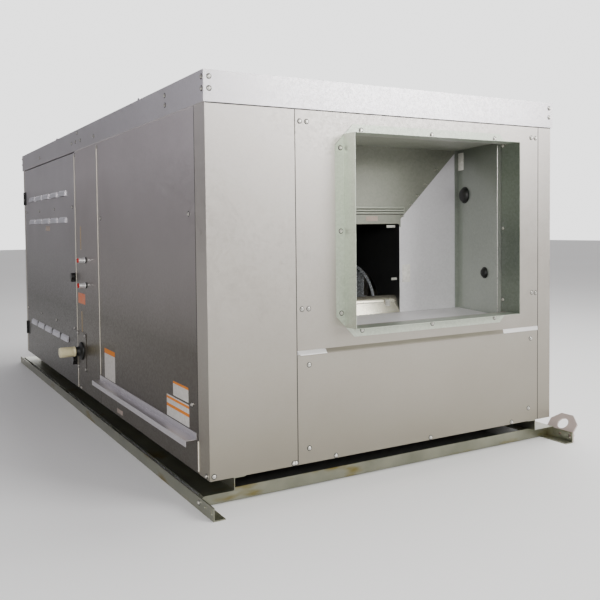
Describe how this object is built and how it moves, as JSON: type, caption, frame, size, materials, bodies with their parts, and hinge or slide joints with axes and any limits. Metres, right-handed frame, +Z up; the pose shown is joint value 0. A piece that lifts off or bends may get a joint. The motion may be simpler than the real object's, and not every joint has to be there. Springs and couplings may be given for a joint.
{
  "type": "makeup air unit",
  "caption": "Rooftop makeup air unit: galvanised cabinet on a steel skid, with a duct collar, an open plenum with a blower behind it and a louvred control door.",
  "frame": {"origin": "middle of the four foot holes, on the ground under the rails", "axes": "+X across the duct end to the right, +Y from the duct end back along the unit, +Z up"},
  "size_m": [1.6167, 2.904, 1.291],
  "materials": {
    "galvanised_panel": "satin galvanised sheet",
    "galvanised_trim": "satin galvanised sheet",
    "galvanised_collar": "satin galvanised sheet",
    "galvanised_inner": "satin galvanised sheet",
    "skid_steel": "bright galvanised steel",
    "blower_steel": "satin galvanised sheet",
    "shaft_steel": "ground steel",
    "hinge_black": "satin black paint",
    "latch_black": "black moulded plastic",
    "pilot_barrel": "polished",
    "pilot_lens": "clear red moulding",
    "boot_rubber": "moulded rubber",
    "pipe_steel": "black steel pipe",
    "cap_plastic": "ivory moulded cap",
    "seal_foam": "tan foam strip"
  },
  "bodies": {
    "root": {"access_panel": "galvanised_panel", "bearing_bars": "blower_steel", "blower_stand": "blower_steel", "bulkhead_left": "galvanised_inner", "bulkhead_right": "galvanised_inner", "bulkhead_top": "galvanised_inner", "collar_bottom": "galvanised_collar", "collar_left": "galvanised_collar", "collar_right": "galvanised_collar", "collar_top": "galvanised_collar", "compartment_back": "galvanised_inner", "compartment_ends": "galvanised_inner", "control_strip": "galvanised_panel", "corner_panel": "galvanised_panel", "corner_posts": "galvanised_inner", "cross_members": "skid_steel", "door_header": "galvanised_panel", "drip_edge": "galvanised_trim", "duct_panel": "galvanised_panel", "fascia_front": "galvanised_trim", "fascia_left": "galvanised_trim", "fascia_rear": "galvanised_trim", "fascia_right": "galvanised_trim", "floor_pan": "galvanised_inner", "gas_pipe": "pipe_steel", "hinge_leaves": "hinge_black", "intake_louvre": "galvanised_inner", "lifting_lugs": "skid_steel", "lower_panel": "galvanised_panel", "outlet_trim": "galvanised_inner", "pan_edges": "galvanised_inner", "pilot_barrels": "pilot_barrel", "pilot_lenses": "pilot_lens", "pipe_boot": "boot_rubber", "pipe_cap": "cap_plastic", "pipe_plate": "galvanised_trim", "plenum_ceiling": "galvanised_inner", "plenum_floor": "galvanised_inner", "plenum_left": "galvanised_inner", "plenum_right": "galvanised_inner", "rail_left": "skid_steel", "rail_right": "skid_steel", "rain_ledge": "galvanised_trim", "rear_panel": "galvanised_panel", "rear_posts": "galvanised_panel", "right_panels": "galvanised_panel", "right_post": "galvanised_panel", "roof_sheet": "galvanised_trim", "scroll_sides": "blower_steel", "scroll_wrap": "blower_steel", "slot_seals": "seal_foam", "supports": "skid_steel", "top_angles": "galvanised_inner"},
    "door": {"control_door": "galvanised_panel", "door_leaves": "hinge_black"},
    "upper_latch": {"latch_upper": "latch_black"},
    "lower_latch": {"latch_lower": "latch_black"},
    "wheel": {"blower_wheel": "blower_steel", "blower_shaft": "shaft_steel"}
  },
  "joints": [
    {"name": "door_hinge", "type": "hinge", "parent": "root", "child": "door", "pos_m": [-0.723, 1.3275, 0.6], "axis": [0, 0, -1], "range_deg": [0, 110]},
    {"name": "upper_latch_turn", "type": "hinge", "parent": "door", "child": "upper_latch", "pos_m": [-0.717, 0.16, 0.609], "axis": [-1, 0, 0], "range_deg": [0, 90]},
    {"name": "lower_latch_turn", "type": "hinge", "parent": "door", "child": "lower_latch", "pos_m": [-0.717, 0.16, 0.216], "axis": [-1, 0, 0], "range_deg": [0, 90]},
    {"name": "wheel_spin", "type": "hinge", "parent": "root", "child": "wheel", "pos_m": [0.058, -0.768, 0.505], "axis": [1, 0, 0], "continuous": true}
  ]
}
